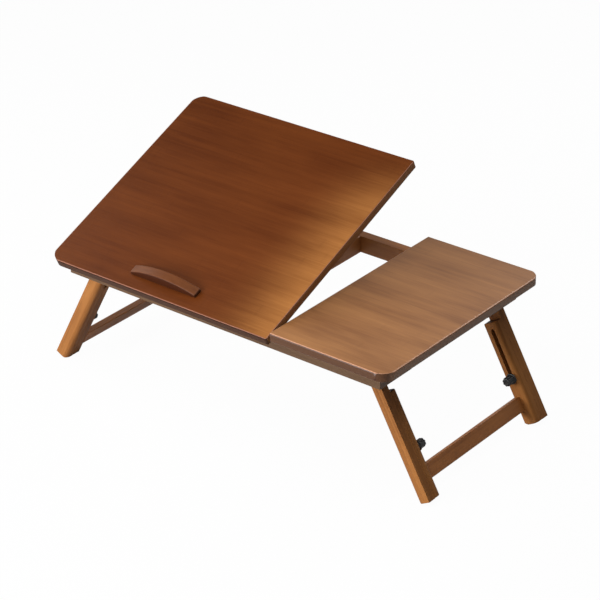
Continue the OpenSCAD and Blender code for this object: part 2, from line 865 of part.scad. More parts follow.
module front_left_upper_leg() { upper_leg(-1, -1); }
module back_left_upper_leg() { upper_leg(-1, 1); }
module front_right_upper_leg() { upper_leg(1, -1); }
module back_right_upper_leg() { upper_leg(1, 1); }
module front_left_sliding_leg() { sliding_leg(-1, -1); }
module back_left_sliding_leg() { sliding_leg(-1, 1); }
module front_right_sliding_leg() { sliding_leg(1, -1); }
module back_right_sliding_leg() { sliding_leg(1, 1); }
module left_crossbar() { crossbar(-1); }
module right_crossbar() { crossbar(1); }
module left_crossbar_dowels() { crossbar_dowels(-1); }
module right_crossbar_dowels() { crossbar_dowels(1); }
module left_clamp_studs() { clamp_studs(-1); }
module right_clamp_studs() { clamp_studs(1); }
module left_knob_washers() { knob_washers(-1); }
module right_knob_washers() { knob_washers(1); }
module front_left_knob() { knob(-1, -1); }
module back_left_knob() { knob(-1, 1); }
module front_right_knob() { knob(1, -1); }
module back_right_knob() { knob(1, 1); }

// ---- drawer ----

module drawer_front() {
    color(WALNUT) difference() {
        block([inner_x, -drawer_y, drawer_front_z0], [frame_x, drawer_y, drawer_front_z1]);
        translate([inner_x - PAST, 0, finger_z]) bar_x(finger_d, rail_t + 2 * PAST);
        drawer_dowel_places() drawer_dowel_waste();
    }
}

module drawer_side(side_y) {
    color(LIGHT_WALNUT) at_corner(1, side_y) difference() {
        block([drawer_x0, drawer_y - drawer_t, drawer_z0], [inner_x, drawer_y, drawer_side_z1]);
        drawer_dowel_places() drawer_dowel_waste();
    }
}

module drawer_front_side() {
    drawer_side(-1);
}

module drawer_back_side() {
    drawer_side(1);
}

module drawer_back() {
    side_in = drawer_y - drawer_t;
    color(LIGHT_WALNUT)
        block([drawer_x0, -side_in, drawer_z0], [drawer_x0 + drawer_t, side_in, drawer_back_z1]);
}

module drawer_bottom() {
    side_in = drawer_y - drawer_t;
    color(PLY)
        block([drawer_x0 + drawer_t, -side_in, drawer_z0],
              [inner_x, side_in, drawer_z0 + drawer_bottom_t]);
}

module drawer_dowel_places() {
    for (side_y = [-1, 1])
        translate([inner_x, side_y * (drawer_y - drawer_t / 2), (drawer_z0 + drawer_side_z1) / 2])
            children();
}

module drawer_dowel_waste() {
    translate([-drawer_dowel_len / 2 - tip_gap, 0, 0])
        bar_x(drawer_dowel_d + hole_play, drawer_dowel_len + 2 * tip_gap);
}

module drawer_dowels() {
    color(PLY) drawer_dowel_places() translate([-drawer_dowel_len / 2, 0, 0])
        bar_x(drawer_dowel_d, drawer_dowel_len);
}

module drawer_guide(side_y) {
    color(WALNUT) at_corner(1, side_y) {
        block([guide_x0, guide_y0, guide_z0], [inner_x, guide_y1, deck_z]);
        block([guide_x0, drawer_y - drawer_t, guide_z0], [inner_x, guide_y0, lip_z]);
    }
}

module front_drawer_guide() {
    drawer_guide(-1);
}

module back_drawer_guide() {
    drawer_guide(1);
}

module drawer_stop_peg() {
    color(PLY) translate([peg_x, 0, peg_z])
        cylinder(d = peg_d, h = deck_z + peg_in - tip_gap - peg_z);
}

tilt_panel();
side_panel();
book_stop();
book_stop_screws();
front_rail();
back_rail();
left_end_rail();
cross_rail();
right_front_apron();
right_back_apron();
frame_dowels();
panel_screws();
hinge_rail_leaves();
hinge_panel_leaves();
hinge_pins();
hinge_rail_screws();
hinge_panel_screws();
left_prop_rack();
right_prop_rack();
prop_brackets();
prop_bracket_screws();
prop_pins();
left_prop_arm();
right_prop_arm();
left_prop_foot();
right_prop_foot();
front_left_upper_leg();
back_left_upper_leg();
front_right_upper_leg();
back_right_upper_leg();
leg_pivot_screws();
leg_pivot_washers();
left_clamp_studs();
right_clamp_studs();
left_knob_washers();
right_knob_washers();
front_left_sliding_leg();
back_left_sliding_leg();
front_right_sliding_leg();
back_right_sliding_leg();
left_crossbar();
right_crossbar();
left_crossbar_dowels();
right_crossbar_dowels();
front_left_knob();
back_left_knob();
front_right_knob();
back_right_knob();
drawer_front();
drawer_front_side();
drawer_back_side();
drawer_back();
drawer_bottom();
drawer_dowels();
front_drawer_guide();
back_drawer_guide();
drawer_stop_peg();
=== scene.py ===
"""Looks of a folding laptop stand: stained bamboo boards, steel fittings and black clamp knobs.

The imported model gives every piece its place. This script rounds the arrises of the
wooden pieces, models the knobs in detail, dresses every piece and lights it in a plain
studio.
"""

import json
import logging
import math
from dataclasses import dataclass, field
from enum import Enum

import bmesh
import bpy
from mathutils import Matrix, Vector


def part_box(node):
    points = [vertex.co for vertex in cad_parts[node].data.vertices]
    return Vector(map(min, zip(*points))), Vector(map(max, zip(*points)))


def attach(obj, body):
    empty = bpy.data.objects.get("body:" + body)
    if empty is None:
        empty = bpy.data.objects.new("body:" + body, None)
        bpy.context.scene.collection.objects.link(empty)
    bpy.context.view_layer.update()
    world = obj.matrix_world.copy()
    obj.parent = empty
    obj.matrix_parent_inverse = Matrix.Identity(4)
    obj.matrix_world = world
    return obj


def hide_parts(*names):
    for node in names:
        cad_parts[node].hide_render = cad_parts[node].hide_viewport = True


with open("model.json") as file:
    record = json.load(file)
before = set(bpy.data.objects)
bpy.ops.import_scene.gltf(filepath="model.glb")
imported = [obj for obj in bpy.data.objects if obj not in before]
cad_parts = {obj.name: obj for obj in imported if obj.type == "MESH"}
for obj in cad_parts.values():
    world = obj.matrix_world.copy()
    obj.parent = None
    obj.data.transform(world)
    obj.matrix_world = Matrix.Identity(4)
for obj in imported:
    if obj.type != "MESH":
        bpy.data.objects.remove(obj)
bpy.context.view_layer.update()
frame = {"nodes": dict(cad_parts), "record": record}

LOG = logging.getLogger("stand")

Colour = tuple[float, float, float]
Vector3 = tuple[float, float, float]

# Angles of the construction, in degrees
TILT = 22.67
SPLAY = 28.5

# Where the first strip and the first layer of a board start, as shares of a strip
STRIP_START = 0.37
LAYER_START = 0.21
# Frequencies of the grain's noises along and across the grain, per metre
STREAKS = (5.0, 150.0)
HAIRS = (22.0, 900.0)
CLOUDS = (6.0, 24.0)
PORES = (200.0, 1500.0)
# How far the strips' streaks are shifted against each other
STREAK_SHIFT = 7.0
# Half widths over which a knot and its halo fade, in metres
KNOT_FADE = (0.0006, 0.0030)
HALO_FADE = (0.002, 0.012)


def srgb(red: int, green: int, blue: int) -> Colour:
    """Turn an 8-bit display colour into a linear one.

    Args:
        red: Red, 0 to 255.
        green: Green, 0 to 255.
        blue: Blue, 0 to 255.

    Returns:
        The linear colour.
    """
    def linear(value: int) -> float:
        """Undo the display curve of one channel."""
        share = value / 255
        return share / 12.92 if share <= 0.04045 else ((share + 0.055) / 1.055) ** 2.4

    return linear(red), linear(green), linear(blue)


# ---------------------------------------------------------------- shader maths


class Term:
    """A socket's value on a node tree, with operators that add Math nodes."""

    def __init__(self, maker: "NodeMaker", out: bpy.types.NodeSocket) -> None:
        """Keep the tree's maker and the socket that gives the value."""
        self.maker = maker
        self.out = out

    def _math(self, operation: str, *operands: "Term | float") -> "Term":
        """Add one Math node.

        Args:
            operation: The node's operation.
            operands: Its inputs, in order.

        Returns:
            The node's value.
        """
        inputs = dict(enumerate(operands))
        return self.maker.make("ShaderNodeMath", {"operation": operation}, inputs)[0]

    def __add__(self, other: "Term | float") -> "Term":
        """Sum of two values."""
        return self._math("ADD", self, other)

    def __sub__(self, other: "Term | float") -> "Term":
        """Difference of two values."""
        return self._math("SUBTRACT", self, other)

    def __mul__(self, other: "Term | float") -> "Term":
        """Product of two values."""
        return self._math("MULTIPLY", self, other)

    def __truediv__(self, other: "Term | float") -> "Term":
        """Quotient of two values."""
        return self._math("DIVIDE", self, other)

    def __pow__(self, other: "Term | float") -> "Term":
        """A value raised to another."""
        return self._math("POWER", self, other)

    def __rsub__(self, other: float) -> "Term":
        """A number less this value."""
        return self._math("SUBTRACT", other, self)

    __radd__ = __add__
    __rmul__ = __mul__

    def size(self) -> "Term":
        """The value without its sign."""
        return self._math("ABSOLUTE", self)

    def floor(self) -> "Term":
        """The whole number below the value."""
        return self._math("FLOOR", self)

    def part(self) -> "Term":
        """What is left above the whole number below the value."""
        return self._math("FRACT", self)

    def ramp(self, low: float, high: float) -> "Term":
        """A smooth step from 0 to 1.

        Args:
            low: Where the step starts.
            high: Where it ends.

        Returns:
            The step's value.
        """
        settings = {"interpolation_type": "SMOOTHSTEP"}
        inputs = {"Value": self, "From Min": low, "From Max": high}
        return self.maker.make("ShaderNodeMapRange", settings, inputs)["Result"]


class Made:
    """A node that was just made; its outputs come out as terms."""

    def __init__(self, maker: "NodeMaker", node: bpy.types.Node) -> None:
        """Keep the node and its maker."""
        self.maker = maker
        self.node = node

    def __getitem__(self, name: str | int) -> Term:
        """One output, by its name or number."""
        return Term(self.maker, self.node.outputs[name])


class NodeMaker:
    """Makes the nodes of one material's tree."""

    def __init__(self, tree: bpy.types.NodeTree) -> None:
        """Keep the tree."""
        self.tree = tree

    def make(self, kind: str, settings: dict | None = None, inputs: dict | None = None) -> Made:
        """Add a node of any kind.

        Args:
            kind: The node's type.
            settings: Its properties, set first; "stops" fills a colour ramp.
            inputs: Values or terms for its sockets, by name or number.

        Returns:
            The node that was made.
        """
        node = self.tree.nodes.new(kind)
        for name, value in (settings or {}).items():
            if name == "stops":
                self._fill(node.color_ramp, value)
            else:
                setattr(node, name, value)
        for name, value in (inputs or {}).items():
            socket = node.inputs[name]
            if isinstance(value, Term):
                self.tree.links.new(value.out, socket)
            elif socket.type == "RGBA" and len(value) == 3:
                socket.default_value = (*value, 1.0)
            else:
                socket.default_value = value
        return Made(self, node)

    @staticmethod
    def _fill(ramp: bpy.types.ColorRamp, stops: list[tuple[float, Colour]]) -> None:
        """Set a colour ramp's stops.

        Args:
            ramp: The ramp.
            stops: Position and colour of each stop.
        """
        while len(ramp.elements) < len(stops):
            ramp.elements.new(0.5)
        for element, (position, colour) in zip(ramp.elements, stops):
            element.position = position
            element.color = (*colour, 1.0)

    def mix(self, share: Term | float, low: Term | Colour, high: Term | Colour,
            blend: str = "MIX") -> Term:
        """Mix two colours.

        Args:
            share: How much of the second colour.
            low: The first colour.
            high: The second colour.
            blend: How they are blended.

        Returns:
            The mixed colour.
        """
        settings = {"data_type": "RGBA", "blend_type": blend}
        return self.make("ShaderNodeMix", settings, {0: share, 6: low, 7: high})[2]

    def along(self, point: Term, direction: Vector3) -> Term:
        """Distance of a point along a direction.

        Args:
            point: The point.
            direction: A unit direction.

        Returns:
            The distance.
        """
        settings = {"operation": "DOT_PRODUCT"}
        return self.make("ShaderNodeVectorMath", settings, {0: point, 1: direction})["Value"]

    def vector(self, x: Term | float, y: Term | float, z: Term | float) -> Term:
        """A vector of three numbers."""
        return self.make("ShaderNodeCombineXYZ", None, {"X": x, "Y": y, "Z": z})["Vector"]

    def noise(self, point: Term, scale: float, detail: float, roughness: float = 0.5) -> Term:
        """Soft noise.

        Args:
            point: Where it is read.
            scale: Its frequency.
            detail: Its octaves.
            roughness: How strong the fine octaves are.

        Returns:
            The noise's value, from 0 to 1.
        """
        inputs = {"Vector": point, "Scale": scale, "Detail": detail, "Roughness": roughness}
        return self.make("ShaderNodeTexNoise", None, inputs)["Fac"]


# ---------------------------------------------------------------- finishes


def turned(degrees: float) -> tuple[float, float]:
    """Cosine and sine of an angle in degrees."""
    return math.cos(math.radians(degrees)), math.sin(math.radians(degrees))


class Grain(Enum):
    """Which way a board's grain runs, and which way its strips lie side by side."""

    FLAT = ((1.0, 0.0, 0.0), (0.0, 1.0, 0.0))
    TILTED = ((1.0, 0.0, 0.0), (0.0, *turned(TILT)))
    RAIL_X = ((1.0, 0.0, 0.0), (0.0, 0.0, 1.0))
    RAIL_Y = ((0.0, 1.0, 0.0), (0.0, 0.0, 1.0))
    ARM = ((0.0, turned(TILT)[0], -turned(TILT)[1]), (1.0, 0.0, 0.0))
    LEG_RIGHT = ((turned(SPLAY)[1], 0.0, -turned(SPLAY)[0]), (0.0, 1.0, 0.0))
    LEG_LEFT = ((-turned(SPLAY)[1], 0.0, -turned(SPLAY)[0]), (0.0, 1.0, 0.0))

    def axes(self) -> tuple[Vector3, Vector3, Vector3]:
        """Unit directions along the grain, across the strips and through the board."""
        along, across = (Vector(v) for v in self.value)
        return tuple(along), tuple(across), tuple(along.cross(across))


@dataclass(frozen=True)
class BambooFinish:
    """Stained and lacquered laminated bamboo.

    Attributes:
        name: Name of the finish.
        stain: Colour of most of the board.
        edge: Colour of the board's long edges; on the tilt panel its grey tint is a painted
            reflection, on the book stop it is painted shade.
        end: Colour of the ends of the grain; on the tilt and side panels it is painted light, on
            the book stop and the legs painted shade.
        contrast: How far the darkest and palest fibres lie from the stain, as a share.
        painted_light: Paler colour painted towards one end of the board as a pool of light, or
            None.
        painted_light_span: Where along the grain the painted light starts and ends to grow, in
            metres.
        painted_light_power: How late the painted light grows between those two places.
        painted_light_fade: Where across the grain the painted light starts and ends to fade, in
            metres.
        painted_highlight: Colour painted on the arrises as a highlight where the lacquer would
            catch the light, or None.
        knot_seam_and_painted_shade: Colour of the knots and the glue seams, also used for painted
            shade below those arrises and on the faces across the deep direction.
        strip: Width of one glued strip, in metres.
        knot_gap: Distance between the knots along a strip, in metres.
        roughness: Roughness of the lacquer's base.
        coat: Weight of the clear coat.
        gloss: Specular level under the coat.
        edged: Whether the faces across the board's thickness take the edge colour.
        knots: How strongly the knots show, from 0 to 1.
        painted_side_shade: Painted shade on the faces across the deep direction, as how much
            darker they are, from 0 to 1.
    """

    name: str
    stain: Colour
    edge: Colour
    end: Colour
    contrast: float = 0.30
    painted_light: Colour | None = None
    painted_light_span: tuple[float, float] = (-0.07, 0.11)
    painted_light_power: float = 3.0
    painted_light_fade: tuple[float, float] = (0.13, 0.27)
    painted_highlight: Colour | None = None
    knot_seam_and_painted_shade: Colour = (0.02, 0.008, 0.003)
    strip: float = 0.019
    knot_gap: float = 0.27
    roughness: float = 0.46
    coat: float = 0.06
    gloss: float = 0.3
    edged: bool = False
    knots: float = 0.05
    painted_side_shade: float = 0.0

    def tones(self, colour: Colour) -> list[tuple[float, Colour]]:
        """Ramp stops of the darkest, middle and palest fibres.

        Args:
            colour: Colour of the middle fibres.

        Returns:
            Position and colour of each stop.
        """
        shares = (0.9, 1.1, 1.2)
        dark = tuple(c * (1 - self.contrast * k) for c, k in zip(colour, shares))
        light = tuple(c * (1 + self.contrast * k) for c, k in zip(colour, shares))
        return [(0.35, dark), (0.50, colour), (0.67, light)]

    def fibres(self, maker: NodeMaker, depth: Term, along: Term, across: Term) -> Term:
        """Colour of the fibres, with the painted light towards one end of the board where there
        is one.

        Args:
            maker: The material's node maker.
            depth: How pale a fibre is, from 0 to 1.
            along: Distance along the grain, in metres.
            across: Distance across the strips, in metres.

        Returns:
            The colour.
        """
        stops = {"stops": self.tones(self.stain)}
        wood = maker.make("ShaderNodeValToRGB", stops, {"Fac": depth})["Color"]
        # Painted light: a paler copy of the fibres is blended in towards one end of the board and
        # fades across the grain, standing in for light falling there.
        if self.painted_light:
            stops = {"stops": self.tones(self.painted_light)}
            painted_light = maker.make("ShaderNodeValToRGB", stops, {"Fac": depth})["Color"]
            share = along.ramp(*self.painted_light_span) ** self.painted_light_power
            share = share * (1.0 - across.ramp(*self.painted_light_fade))
            wood = maker.mix(share, wood, painted_light)
        return wood

    def arrises(self, maker: NodeMaker, wood: Term, flat: Term, streak: Term) -> Term:
        """Colour of the board with its edges and arrises, with a painted highlight and painted
        shade on the arrises where the finish has a highlight colour.

        Args:
            maker: The material's node maker.
            wood: Colour of the faces.
            flat: 1 on the faces, 0 on the edges.
            streak: The grain's streaks.

        Returns:
            The colour.
        """
        edge = maker.mix(streak * 0.35, self.edge, self.stain)
        if not self.painted_highlight:
            return maker.mix(1.0 - flat.ramp(0.35, 0.97), wood, edge)
        # Painted highlight on the upper part of the rounded arrises.
        wood = maker.mix(1.0 - flat.ramp(0.90, 0.995), wood, self.painted_highlight)
        # Painted shade: a dark band on the arrises below the painted highlight.
        wood = maker.mix(1.0 - flat.ramp(0.56, 0.74), wood, self.knot_seam_and_painted_shade)
        return maker.mix(1.0 - flat.ramp(0.10, 0.26), wood, edge)

    def build(self, grain: Grain) -> bpy.types.Material:
        """Make the material for one direction of the grain.

        Args:
            grain: The grain's direction.

        Returns:
            The material.
        """
        material = bpy.data.materials.new(f"{self.name}_{grain.name.lower()}")
        material.use_nodes = True
        maker = NodeMaker(material.node_tree)
        coords = maker.make("ShaderNodeTexCoord")
        along_axis, across_axis, deep_axis = grain.axes()
        point = coords["Object"]
        along = maker.along(point, along_axis)
        across = maker.along(point, across_axis)
        deep = maker.along(point, deep_axis)

        strip_place = across / self.strip + STRIP_START
        strip = strip_place.floor()
        layer = (deep / self.strip + LAYER_START).floor()
        strip_cell = maker.vector(strip, layer, 3.0)
        tone = maker.make("ShaderNodeTexWhiteNoise", None, {"Vector": strip_cell})["Value"]
        shift = maker.make("ShaderNodeTexWhiteNoise", None,
                           {"Vector": maker.vector(layer, strip, 9.0)})["Value"]

        def drawn_out(pitch: tuple[float, float], detail: float, roughness: float = 0.5,
                      shift: Term | float = 0.0) -> Term:
            """Noise with one frequency along the grain and another across it."""
            run = maker.vector(along * pitch[0] + shift, across * pitch[1], deep * pitch[1])
            return maker.noise(run, 1.0, detail, roughness)

        streak = drawn_out(STREAKS, 4.0, 0.6, tone * STREAK_SHIFT)
        hair = drawn_out(HAIRS, 2.0)
        cloud = drawn_out(CLOUDS, 3.0, 0.55)
        depth = streak * 0.34 + hair * 0.20 + cloud * 0.46 + (tone - 0.5) * 0.03
        wood = self.fibres(maker, depth, along, across)

        knot_place = (along / self.knot_gap + shift).part()
        from_knot = (knot_place - 0.5).size() * self.knot_gap
        knot = 1.0 - from_knot.ramp(*KNOT_FADE)
        halo = 1.0 - from_knot.ramp(*HALO_FADE)
        wood = maker.mix(halo * self.knots * 0.5, wood, self.tones(self.stain)[2][1])
        wood = maker.mix(knot * self.knots, wood, self.knot_seam_and_painted_shade)
        seam = (strip_place.part() - 0.5).size().ramp(0.485, 0.5)
        wood = maker.mix(seam * 0.08, wood, self.knot_seam_and_painted_shade)

        normal = coords["Normal"]
        flat = maker.along(normal, deep_axis).size()
        if self.edged:
            wood = self.arrises(maker, wood, flat, streak)
        # Painted shade: the faces across the deep direction, the legs' outer sides, are darkened
        # towards the knot colour.
        if self.painted_side_shade:
            wood = maker.mix(flat.ramp(0.55, 0.95) * self.painted_side_shade, wood, self.knot_seam_and_painted_shade)
        end_share = maker.along(normal, along_axis).size().ramp(0.80, 0.98)
        pore = drawn_out(PORES, 1.0)
        end_wood = maker.mix(pore.ramp(0.35, 0.65) * 0.6 + 0.4, self.stain, self.end)
        wood = maker.mix(end_share, wood, end_wood)

        height = streak * 0.5 + hair * 0.5 - knot * 0.8
        bump = maker.make("ShaderNodeBump", None, {
            "Strength": 0.10, "Distance": 0.0004, "Height": height})["Normal"]
        polish = self.roughness + (streak - 0.5) * 0.14 + (cloud - 0.5) * 0.12
        shader = material.node_tree.nodes["Principled BSDF"]
        shader.inputs["Coat Roughness"].default_value = 0.22
        shader.inputs["Coat Weight"].default_value = self.coat
        shader.inputs["Specular IOR Level"].default_value = self.gloss
        shader.inputs["IOR"].default_value = 1.48
        maker.tree.links.new(wood.out, shader.inputs["Base Color"])
        maker.tree.links.new(polish.out, shader.inputs["Roughness"])
        maker.tree.links.new(bump.out, shader.inputs["Normal"])
        return material


@dataclass(frozen=True)
class SteelFinish:
    """Zinc plated steel with fine brushing.

    Attributes:
        name: Name of the finish.
        colour: Colour of the metal.
        roughness: Mean roughness.
    """

    name: str
    colour: Colour
    roughness: float = 0.34

    def build(self) -> bpy.types.Material:
        """Make the material."""
        material = bpy.data.materials.new(self.name)
        material.use_nodes = True
        maker = NodeMaker(material.node_tree)
        point = maker.make("ShaderNodeTexCoord")["Object"]
        stain = maker.noise(point, 160.0, 3.0)
        brush = maker.noise(maker.vector(maker.along(point, (60.0, 0.0, 0.0)),
                                         maker.along(point, (0.0, 2400.0, 0.0)),
                                         maker.along(point, (0.0, 0.0, 2400.0))), 1.0, 2.0)
        dull = tuple(channel * 0.78 for channel in self.colour)
        metal = maker.mix(stain.ramp(0.35, 0.7), self.colour, dull)
        gloss = self.roughness + (brush - 0.5) * 0.2 + (stain - 0.5) * 0.15
        bump = maker.make("ShaderNodeBump", None, {
            "Strength": 0.08, "Distance": 0.0002, "Height": brush})["Normal"]
        shader = material.node_tree.nodes["Principled BSDF"]
        shader.inputs["Metallic"].default_value = 1.0
        maker.tree.links.new(metal.out, shader.inputs["Base Color"])
        maker.tree.links.new(gloss.out, shader.inputs["Roughness"])
        maker.tree.links.new(bump.out, shader.inputs["Normal"])
        return material


@dataclass(frozen=True)
class PlasticFinish:
    """Moulded plastic with a fine satin texture.

    Attributes:
        name: Name of the finish.
        colour: Colour of the plastic.
        roughness: Mean roughness.
    """

    name: str
    colour: Colour
    roughness: float = 0.42

    def build(self) -> bpy.types.Material:
        """Make the material."""
        material = bpy.data.materials.new(self.name)
        material.use_nodes = True
        maker = NodeMaker(material.node_tree)
        point = maker.make("ShaderNodeTexCoord")["Object"]
        spark = maker.noise(point, 2600.0, 2.0)
        rub = maker.noise(point, 90.0, 3.0)
        worn = tuple(channel * 1.7 + 0.006 for channel in self.colour)
        colour = maker.mix(rub.ramp(0.5, 0.8) * 0.6, self.colour, worn)
        gloss = self.roughness + (rub - 0.5) * 0.2
        bump = maker.make("ShaderNodeBump", None, {
            "Strength": 0.15, "Distance": 0.0001, "Height": spark})["Normal"]
        shader = material.node_tree.nodes["Principled BSDF"]
        maker.tree.links.new(colour.out, shader.inputs["Base Color"])
        maker.tree.links.new(gloss.out, shader.inputs["Roughness"])
        maker.tree.links.new(bump.out, shader.inputs["Normal"])
        return material


# Tilt panel: the paler colour towards the right end is painted light; the end colour is lightened
# as painted light on the end faces; the grey tint of the edge colour is a painted reflection of
# the white floor; the pale arris colour is a painted highlight, the dark one painted shade.
TOP_STAIN = BambooFinish(
    "top_stain", stain=srgb(82, 39, 11), painted_light=srgb(134, 86, 43),
    edge=srgb(58, 40, 30), end=srgb(132, 92, 58), painted_highlight=srgb(130, 88, 70),
    knot_seam_and_painted_shade=srgb(40, 16, 7), coat=0.0, gloss=0.08, edged=True)
# Book stop: the dark reddish edge colour is painted shade on its front face, and the near-black
# end colour is painted shade on its ends.
STOP_STAIN = BambooFinish(
    "stop_stain", stain=srgb(86, 47, 22), edge=srgb(54, 22, 9), end=srgb(40, 18, 8),
    knot_seam_and_painted_shade=srgb(46, 20, 9), coat=0.0, gloss=0.15, edged=True, contrast=0.40)
# Side panel: the grey-brown end colour is painted light and reflection on its end faces; the pale
# arris colour is a painted highlight, the dark one painted shade.
SIDE_STAIN = BambooFinish(
    "side_stain", stain=srgb(131, 87, 49), edge=srgb(54, 26, 6), end=srgb(112, 86, 68),
    painted_highlight=srgb(172, 126, 98), knot_seam_and_painted_shade=srgb(66, 32, 12), roughness=0.44, coat=0.10, edged=True,
    contrast=0.35)
RAIL_STAIN = BambooFinish(
    "rail_stain", stain=srgb(88, 62, 38), edge=srgb(60, 38, 24), end=srgb(84, 58, 40),
    strip=0.014)
BAR_STAIN = BambooFinish(
    "bar_stain", stain=srgb(146, 90, 42), edge=srgb(96, 54, 24), end=srgb(116, 72, 38),
    strip=0.014)
FRAME_STAIN = BambooFinish(
    "frame_stain", stain=srgb(96, 54, 26), edge=srgb(60, 30, 15), end=srgb(84, 48, 24),
    strip=0.014)
# Legs: the dark end colour is painted shade on the sliding legs' top ends under the panels; the
# darkened outer sides are painted shade.
LEG_STAIN = BambooFinish(
    "leg_stain", stain=srgb(138, 88, 44), edge=srgb(96, 54, 26), end=srgb(64, 36, 18),
    strip=0.010, knot_gap=0.21, contrast=0.42, coat=0.0, gloss=0.12, painted_side_shade=0.18)
DRAWER_STAIN = BambooFinish(
    "drawer_stain", stain=srgb(146, 98, 58), edge=srgb(110, 66, 36), end=srgb(130, 84, 50),
    strip=0.012)
BARE_BEECH = BambooFinish(
    "bare_beech", stain=srgb(196, 152, 108), edge=srgb(170, 124, 84), end=srgb(176, 132, 92),
    knot_seam_and_painted_shade=srgb(130, 90, 58), contrast=0.16, strip=0.03, knot_gap=2.0, roughness=0.6, coat=0.0)
ZINC = SteelFinish("zinc_steel", srgb(196, 198, 200))
BLACK = PlasticFinish("black_plastic", srgb(15, 15, 16))


class FinishShelf:
    """Keeps each material once and hands it out by finish and grain."""

    def __init__(self) -> None:
        """Start with no materials."""
        self.made: dict[tuple, bpy.types.Material] = {}

    def take(self, finish: BambooFinish | SteelFinish | PlasticFinish,
             grain: Grain | None = None) -> bpy.types.Material:
        """Give a material, making it the first time.

        Args:
            finish: The finish.
            grain: The grain's direction, on bamboo.

        Returns:
            The material.
        """
        key = (finish.name, grain)
        if key not in self.made:
            self.made[key] = finish.build(grain) if grain else finish.build()
        return self.made[key]


SHELF = FinishShelf()


# ---------------------------------------------------------------- workshop


def body_of(node: str) -> str:
    """The name of the body that a CAD node rides on."""
    bodies = frame["record"]["behaviour"]["bodies"]
    return next(body for body, members in bodies.items() if node in members)


def slot_of(node: str) -> str:
    """The record's material slot of a CAD node."""
    rows = frame["record"]["subparts"]
    return next(row["material_slot"] for row in rows if row["node"] == node)


def finish_piece(piece: bpy.types.Object, node: str, material: bpy.types.Material) -> None:
    """Dress a new piece and let it stand for its CAD node.

    Args:
        piece: The new object.
        node: The CAD node that it replaces.
        material: Its material.
    """
    piece.data.materials.clear()
    piece.data.materials.append(material)
    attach(piece, body_of(node))
    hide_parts(node)
    slot_of(node)
    LOG.info("made %s for %s", piece.name, node)


def dress_node(node: str, material: bpy.types.Material) -> None:
    """Give a carried CAD node its material.

    Args:
        node: The CAD node.
        material: Its material.
    """
    mesh = frame["nodes"][node].data
    mesh.materials.clear()
    mesh.materials.append(material)
    LOG.info("dressed %s", node)


def object_from(form: bmesh.types.BMesh, name: str) -> bpy.types.Object:
    """Turn a finished form into an object of the scene.

    Args:
        form: The form; it is freed.
        name: Name of the object.

    Returns:
        The object.
    """
    mesh = bpy.data.meshes.new(name)
    form.to_mesh(mesh)
    form.free()
    piece = bpy.data.objects.new(name, mesh)
    bpy.context.scene.collection.objects.link(piece)
    return piece


def shade(form: bmesh.types.BMesh, sharp: float = 42.0) -> None:
    """Shade a form smoothly but for its sharp edges.

    Args:
        form: The form.
        sharp: Angle past which an edge stays sharp, in degrees.
    """
    limit = math.radians(sharp)
    for face in form.faces:
        face.smooth = True
    for edge in form.edges:
        edge.smooth = not edge.is_manifold or edge.calc_face_angle() < limit


def even_shading(piece: bpy.types.Object) -> None:
    """Keep the flat faces flat beside their rounded arrises."""
    modifier = piece.modifiers.new("even_shading", "WEIGHTED_NORMAL")
    modifier.keep_sharp = True
    modifier.weight = 90


@dataclass(frozen=True)
class Arris:
    """How the sharp edges of a wooden piece are rounded.

    Attributes:
        radius: Radius of the rounding, in metres.
        steps: Number of faces across it.
        least_angle: Edges flatter than this stay as they are, in degrees.
    """

    radius: float = 0.0008
    steps: int = 3
    least_angle: float = 50.0

    def on_bore(self, face: bmesh.types.BMFace) -> bool:
        """Whether a face belongs to the wall of a drilled hole."""
        low, high = math.radians(1.0), math.radians(40.0)
        return any(edge.is_manifold and low < -edge.calc_face_angle_signed() < high
                   for edge in face.edges)

    def ease(self, form: bmesh.types.BMesh) -> None:
        """Round the form's outer edges and leave the rims of its holes.

        Args:
            form: The form.
        """
        bmesh.ops.remove_doubles(form, verts=form.verts, dist=1e-6)
        bmesh.ops.dissolve_limit(form, angle_limit=math.radians(0.5),
                                 verts=form.verts, edges=form.edges)
        least = math.radians(self.least_angle)
        chosen = [edge for edge in form.edges
                  if edge.is_manifold and edge.calc_face_angle_signed() > least
                  and not any(self.on_bore(face) for face in edge.link_faces)]
        bmesh.ops.bevel(form, geom=chosen, offset=self.radius, offset_type="OFFSET",
                        segments=self.steps, profile=0.5, affect="EDGES",
                        clamp_overlap=True, loop_slide=True)


def eased(node: str, arris: Arris) -> bpy.types.Object:
    """A copy of a CAD node's shape with rounded arrises.

    Args:
        node: The CAD node.
        arris: The rounding.

    Returns:
        The new object, in the node's place.
    """
    form = bmesh.new()
    form.from_mesh(frame["nodes"][node].data)
    arris.ease(form)
    shade(form)
    piece = object_from(form, f"{node}_wood")
    even_shading(piece)
    return piece


